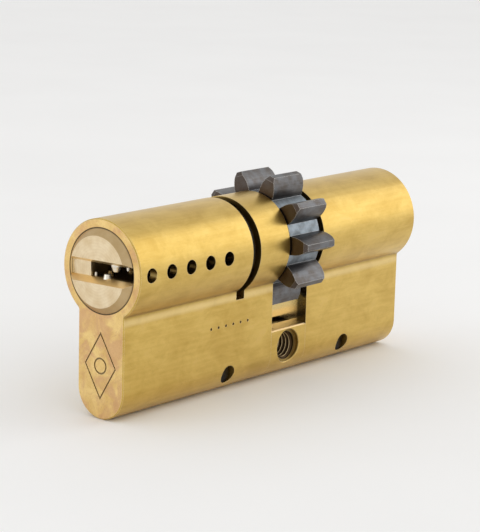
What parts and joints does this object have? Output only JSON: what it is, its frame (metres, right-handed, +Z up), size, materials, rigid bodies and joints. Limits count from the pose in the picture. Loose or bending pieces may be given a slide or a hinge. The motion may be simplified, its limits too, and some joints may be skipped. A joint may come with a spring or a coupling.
{
  "type": "euro profile lock cylinder",
  "caption": "Double keyed brass euro-profile cylinder for a deadbolt lock, with a ten-tooth steel gear as its cam, clutch dogs, pin stacks and an M5 fixing hole.",
  "frame": {"origin": "centre of the M5 fixing screw hole, on the middle plane of the web", "axes": "+X along the barrel towards the rear keyed end, Y along the fixing screw, +Z up from the web to the barrel"},
  "size_m": [0.0762, 0.0238, 0.0359],
  "materials": {
    "body_brass": "drawn satin brass, bare",
    "plug_brass": "turned pale nickel brass",
    "pin_brass": "turned",
    "gear_steel": "dark sintered steel, light edges",
    "dark_steel": "blackened",
    "bright_steel": "ground",
    "spring_steel": "drawn wire"
  },
  "bodies": {
    "housing": {"front_body": "body_brass", "rear_body": "body_brass", "bridge": "body_brass", "bridge_pins": "dark_steel", "front_chamber_caps": "body_brass", "rear_chamber_caps": "body_brass", "front_spring_1": "spring_steel", "front_spring_2": "spring_steel", "front_spring_3": "spring_steel", "front_spring_4": "spring_steel", "front_spring_5": "spring_steel", "rear_spring_1": "spring_steel", "rear_spring_2": "spring_steel", "rear_spring_3": "spring_steel", "rear_spring_4": "spring_steel", "rear_spring_5": "spring_steel"},
    "front_plug": {"front_plug": "plug_brass", "front_clip": "dark_steel", "front_spindle": "bright_steel", "front_keyway_wards": "bright_steel", "drill_guard_pins": "bright_steel"},
    "rear_plug": {"rear_plug": "plug_brass", "rear_clip": "dark_steel", "rear_keyway_wards": "bright_steel"},
    "gear_cam": {"gear_cam": "gear_steel"},
    "front_dog": {"front_dog": "bright_steel"},
    "rear_dog": {"rear_dog": "bright_steel"},
    "front_key_pin_1": {"front_key_pin_1": "pin_brass"},
    "front_driver_1": {"front_driver_1": "pin_brass"},
    "front_key_pin_2": {"front_key_pin_2": "pin_brass"},
    "front_driver_2": {"front_driver_2": "pin_brass"},
    "front_key_pin_3": {"front_key_pin_3": "pin_brass"},
    "front_driver_3": {"front_driver_3": "pin_brass"},
    "front_key_pin_4": {"front_key_pin_4": "pin_brass"},
    "front_driver_4": {"front_driver_4": "pin_brass"},
    "front_key_pin_5": {"front_key_pin_5": "pin_brass"},
    "front_driver_5": {"front_driver_5": "pin_brass"},
    "rear_key_pin_1": {"rear_key_pin_1": "pin_brass"},
    "rear_driver_1": {"rear_driver_1": "pin_brass"},
    "rear_key_pin_2": {"rear_key_pin_2": "pin_brass"},
    "rear_driver_2": {"rear_driver_2": "pin_brass"},
    "rear_key_pin_3": {"rear_key_pin_3": "pin_brass"},
    "rear_driver_3": {"rear_driver_3": "pin_brass"},
    "rear_key_pin_4": {"rear_key_pin_4": "pin_brass"},
    "rear_driver_4": {"rear_driver_4": "pin_brass"},
    "rear_key_pin_5": {"rear_key_pin_5": "pin_brass"},
    "rear_driver_5": {"rear_driver_5": "pin_brass"}
  },
  "joints": [
    {"name": "front_plug_turn", "type": "hinge", "parent": "housing", "child": "front_plug", "pos_m": [0, 0, 0.01886], "axis": [1, 0, 0], "continuous": true},
    {"name": "cam_turn", "type": "hinge", "parent": "housing", "child": "gear_cam", "pos_m": [0, 0, 0.01886], "axis": [1, 0, 0], "continuous": true},
    {"name": "rear_plug_turn", "type": "hinge", "parent": "housing", "child": "rear_plug", "pos_m": [0, 0, 0.01886], "axis": [1, 0, 0], "continuous": true},
    {"name": "front_dog_slide", "type": "slide", "parent": "front_plug", "child": "front_dog", "axis": [1, 0, 0], "range_m": [-0.0024, 0]},
    {"name": "rear_dog_slide", "type": "slide", "parent": "rear_plug", "child": "rear_dog", "axis": [1, 0, 0], "range_m": [-0.0024, 0]},
    {"name": "front_key_pin_1_slide", "type": "slide", "parent": "front_plug", "child": "front_key_pin_1", "axis": [0, 0, 1], "range_m": [0, 0.0006]},
    {"name": "front_driver_1_slide", "type": "slide", "parent": "housing", "child": "front_driver_1", "axis": [0, 0, 1], "range_m": [-0.0012, 0], "stiffness_N_per_m": 150, "springref_m": 0.003, "deforming": ["front_spring_1"]},
    {"name": "front_key_pin_2_slide", "type": "slide", "parent": "front_plug", "child": "front_key_pin_2", "axis": [0, 0, 1], "range_m": [0, 0.0006]},
    {"name": "front_driver_2_slide", "type": "slide", "parent": "housing", "child": "front_driver_2", "axis": [0, 0, 1], "range_m": [-0.0012, 0], "stiffness_N_per_m": 150, "springref_m": 0.003, "deforming": ["front_spring_2"]},
    {"name": "front_key_pin_3_slide", "type": "slide", "parent": "front_plug", "child": "front_key_pin_3", "axis": [0, 0, 1], "range_m": [0, 0.0006]},
    {"name": "front_driver_3_slide", "type": "slide", "parent": "housing", "child": "front_driver_3", "axis": [0, 0, 1], "range_m": [-0.0012, 0], "stiffness_N_per_m": 150, "springref_m": 0.003, "deforming": ["front_spring_3"]},
    {"name": "front_key_pin_4_slide", "type": "slide", "parent": "front_plug", "child": "front_key_pin_4", "axis": [0, 0, 1], "range_m": [0, 0.0006]},
    {"name": "front_driver_4_slide", "type": "slide", "parent": "housing", "child": "front_driver_4", "axis": [0, 0, 1], "range_m": [-0.0012, 0], "stiffness_N_per_m": 150, "springref_m": 0.003, "deforming": ["front_spring_4"]},
    {"name": "front_key_pin_5_slide", "type": "slide", "parent": "front_plug", "child": "front_key_pin_5", "axis": [0, 0, 1], "range_m": [0, 0.0006]},
    {"name": "front_driver_5_slide", "type": "slide", "parent": "housing", "child": "front_driver_5", "axis": [0, 0, 1], "range_m": [-0.0012, 0], "stiffness_N_per_m": 150, "springref_m": 0.003, "deforming": ["front_spring_5"]},
    {"name": "rear_key_pin_1_slide", "type": "slide", "parent": "rear_plug", "child": "rear_key_pin_1", "axis": [0, 0, 1], "range_m": [0, 0.0006]},
    {"name": "rear_driver_1_slide", "type": "slide", "parent": "housing", "child": "rear_driver_1", "axis": [0, 0, 1], "range_m": [-0.0012, 0], "stiffness_N_per_m": 150, "springref_m": 0.003, "deforming": ["rear_spring_1"]},
    {"name": "rear_key_pin_2_slide", "type": "slide", "parent": "rear_plug", "child": "rear_key_pin_2", "axis": [0, 0, 1], "range_m": [0, 0.0006]},
    {"name": "rear_driver_2_slide", "type": "slide", "parent": "housing", "child": "rear_driver_2", "axis": [0, 0, 1], "range_m": [-0.0012, 0], "stiffness_N_per_m": 150, "springref_m": 0.003, "deforming": ["rear_spring_2"]},
    {"name": "rear_key_pin_3_slide", "type": "slide", "parent": "rear_plug", "child": "rear_key_pin_3", "axis": [0, 0, 1], "range_m": [0, 0.0006]},
    {"name": "rear_driver_3_slide", "type": "slide", "parent": "housing", "child": "rear_driver_3", "axis": [0, 0, 1], "range_m": [-0.0012, 0], "stiffness_N_per_m": 150, "springref_m": 0.003, "deforming": ["rear_spring_3"]},
    {"name": "rear_key_pin_4_slide", "type": "slide", "parent": "rear_plug", "child": "rear_key_pin_4", "axis": [0, 0, 1], "range_m": [0, 0.0006]},
    {"name": "rear_driver_4_slide", "type": "slide", "parent": "housing", "child": "rear_driver_4", "axis": [0, 0, 1], "range_m": [-0.0012, 0], "stiffness_N_per_m": 150, "springref_m": 0.003, "deforming": ["rear_spring_4"]},
    {"name": "rear_key_pin_5_slide", "type": "slide", "parent": "rear_plug", "child": "rear_key_pin_5", "axis": [0, 0, 1], "range_m": [0, 0.0006]},
    {"name": "rear_driver_5_slide", "type": "slide", "parent": "housing", "child": "rear_driver_5", "axis": [0, 0, 1], "range_m": [-0.0012, 0], "stiffness_N_per_m": 150, "springref_m": 0.003, "deforming": ["rear_spring_5"]}
  ],
  "couplings": [
    {"joint": "cam_turn", "follows": "front_plug_turn", "ratio": 1},
    {"joint": "rear_dog_slide", "follows": "front_dog_slide", "ratio": 1}
  ]
}
